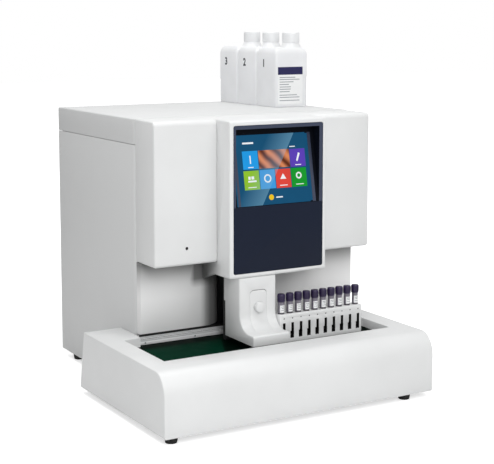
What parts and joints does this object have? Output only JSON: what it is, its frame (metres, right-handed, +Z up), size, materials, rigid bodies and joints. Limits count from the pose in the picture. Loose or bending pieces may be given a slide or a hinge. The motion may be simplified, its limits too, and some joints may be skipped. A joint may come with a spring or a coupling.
{
  "type": "glycated hemoglobin analyzer",
  "caption": "Bench-top glycated hemoglobin analyzer with touch display in an overhanging head, sample rack tray, tilt-out urgent door and reagent bottles on the roof.",
  "frame": {"origin": "on the bench, under the middle of the footprint", "axes": "+Z up, the front with the display and the tray faces -Y, +X to the operator's right"},
  "size_m": [0.604, 0.681, 0.727],
  "materials": {
    "shell_white": "fine satin moulding",
    "sheet_grey": "powder-coated sheet",
    "panel_navy": "glossy front panel",
    "screen_blue": "screen behind a clear cover",
    "rubber_black": "matt",
    "plate_green": "glossy sheet",
    "anodised": "clear anodised",
    "steel": "plain",
    "rack_white": "moulded",
    "tube_clear": "clear",
    "cap_purple": "moulded stopper",
    "bottle_white": "translucent blow moulding",
    "plastic_black": "moulded",
    "board_green": "solder-masked board",
    "module_grey": "grey enamel"
  },
  "bodies": {
    "cabinet": {"tray_housing": "shell_white", "head_cover": "shell_white", "display_housing": "shell_white", "lower_front_panel": "shell_white", "column_cover": "shell_white", "top_cover": "sheet_grey", "left_side_panel": "sheet_grey", "right_side_panel": "sheet_grey", "rear_panel": "sheet_grey", "display_panel": "panel_navy", "lcd_screen": "screen_blue", "foot_front_left": "rubber_black", "foot_front_right": "rubber_black", "foot_rear_left": "rubber_black", "foot_rear_right": "rubber_black", "transport_plate": "plate_green", "transport_rail": "anodised", "sampling_guide": "anodised", "base_pan": "steel", "fan_frame": "plastic_black", "power_inlet": "plastic_black", "data_sockets": "plastic_black", "fluid_fittings": "plastic_black", "control_board": "board_green", "power_supply": "module_grey", "delivery_pump": "module_grey", "column_oven": "module_grey", "optical_detector": "module_grey"},
    "stat_door": {"stat_door": "shell_white", "stat_knob": "shell_white"},
    "rack": {"rack": "rack_white"},
    "tube_1": {"tube_1": "tube_clear", "tube_cap_1": "cap_purple"},
    "tube_2": {"tube_2": "tube_clear", "tube_cap_2": "cap_purple"},
    "tube_3": {"tube_3": "tube_clear", "tube_cap_3": "cap_purple"},
    "tube_4": {"tube_4": "tube_clear", "tube_cap_4": "cap_purple"},
    "tube_5": {"tube_5": "tube_clear", "tube_cap_5": "cap_purple"},
    "tube_6": {"tube_6": "tube_clear", "tube_cap_6": "cap_purple"},
    "tube_7": {"tube_7": "tube_clear", "tube_cap_7": "cap_purple"},
    "tube_8": {"tube_8": "tube_clear", "tube_cap_8": "cap_purple"},
    "tube_9": {"tube_9": "tube_clear", "tube_cap_9": "cap_purple"},
    "tube_10": {"tube_10": "tube_clear", "tube_cap_10": "cap_purple"},
    "bottle_1": {"bottle_1": "bottle_white"},
    "bottle_cap_1": {"bottle_cap_1": "bottle_white"},
    "bottle_2": {"bottle_2": "bottle_white"},
    "bottle_cap_2": {"bottle_cap_2": "bottle_white"},
    "bottle_3": {"bottle_3": "bottle_white"},
    "bottle_cap_3": {"bottle_cap_3": "bottle_white"},
    "fan_rotor": {"fan_rotor": "plastic_black"},
    "power_switch": {"power_switch": "plastic_black"},
    "needle_arm": {"needle_arm": "steel"}
  },
  "joints": [
    {"name": "stat_door_tilt", "type": "hinge", "parent": "cabinet", "child": "stat_door", "pos_m": [-0.014, -0.20622, 0.14415], "axis": [1, 0, 0], "range_deg": [0, 38]},
    {"name": "rack_slide", "type": "slide", "parent": "cabinet", "child": "rack", "axis": [0, 1, 0], "range_m": [-0.045, 0.1]},
    {"name": "tube_1_lift", "type": "slide", "parent": "rack", "child": "tube_1", "axis": [0, 0, 1], "range_m": [0, 0.038]},
    {"name": "tube_2_lift", "type": "slide", "parent": "rack", "child": "tube_2", "axis": [0, 0, 1], "range_m": [0, 0.038]},
    {"name": "tube_3_lift", "type": "slide", "parent": "rack", "child": "tube_3", "axis": [0, 0, 1], "range_m": [0, 0.038]},
    {"name": "tube_4_lift", "type": "slide", "parent": "rack", "child": "tube_4", "axis": [0, 0, 1], "range_m": [0, 0.038]},
    {"name": "tube_5_lift", "type": "slide", "parent": "rack", "child": "tube_5", "axis": [0, 0, 1], "range_m": [0, 0.038]},
    {"name": "tube_6_lift", "type": "slide", "parent": "rack", "child": "tube_6", "axis": [0, 0, 1], "range_m": [0, 0.038]},
    {"name": "tube_7_lift", "type": "slide", "parent": "rack", "child": "tube_7", "axis": [0, 0, 1], "range_m": [0, 0.06]},
    {"name": "tube_8_lift", "type": "slide", "parent": "rack", "child": "tube_8", "axis": [0, 0, 1], "range_m": [0, 0.06]},
    {"name": "tube_9_lift", "type": "slide", "parent": "rack", "child": "tube_9", "axis": [0, 0, 1], "range_m": [0, 0.06]},
    {"name": "tube_10_lift", "type": "slide", "parent": "rack", "child": "tube_10", "axis": [0, 0, 1], "range_m": [0, 0.06]},
    {"name": "bottle_1_lift", "type": "slide", "parent": "cabinet", "child": "bottle_1", "axis": [0, 0, 1], "range_m": [0, 0.1]},
    {"name": "bottle_cap_1_turn", "type": "hinge", "parent": "bottle_1", "child": "bottle_cap_1", "pos_m": [0.25175, 0.1205, 0.712], "axis": [0, 0, 1], "range_deg": [0, 540]},
    {"name": "bottle_2_lift", "type": "slide", "parent": "cabinet", "child": "bottle_2", "axis": [0, 0, 1], "range_m": [0, 0.1]},
    {"name": "bottle_cap_2_turn", "type": "hinge", "parent": "bottle_2", "child": "bottle_cap_2", "pos_m": [0.25175, 0.2055, 0.712], "axis": [0, 0, 1], "range_deg": [0, 540]},
    {"name": "bottle_3_lift", "type": "slide", "parent": "cabinet", "child": "bottle_3", "axis": [0, 0, 1], "range_m": [0, 0.1]},
    {"name": "bottle_cap_3_turn", "type": "hinge", "parent": "bottle_3", "child": "bottle_cap_3", "pos_m": [0.25175, 0.2905, 0.712], "axis": [0, 0, 1], "range_deg": [0, 540]},
    {"name": "fan_spin", "type": "hinge", "parent": "cabinet", "child": "fan_rotor", "pos_m": [-0.102, 0.3075, 0.38], "axis": [0, 1, 0], "continuous": true},
    {"name": "power_switch_rock", "type": "hinge", "parent": "cabinet", "child": "power_switch", "pos_m": [0.218, 0.3165, 0.0945], "axis": [1, 0, 0], "range_deg": [0, 16]},
    {"name": "needle_arm_slide", "type": "slide", "parent": "cabinet", "child": "needle_arm", "axis": [0, 0, 1], "range_m": [-0.06, 0]}
  ]
}
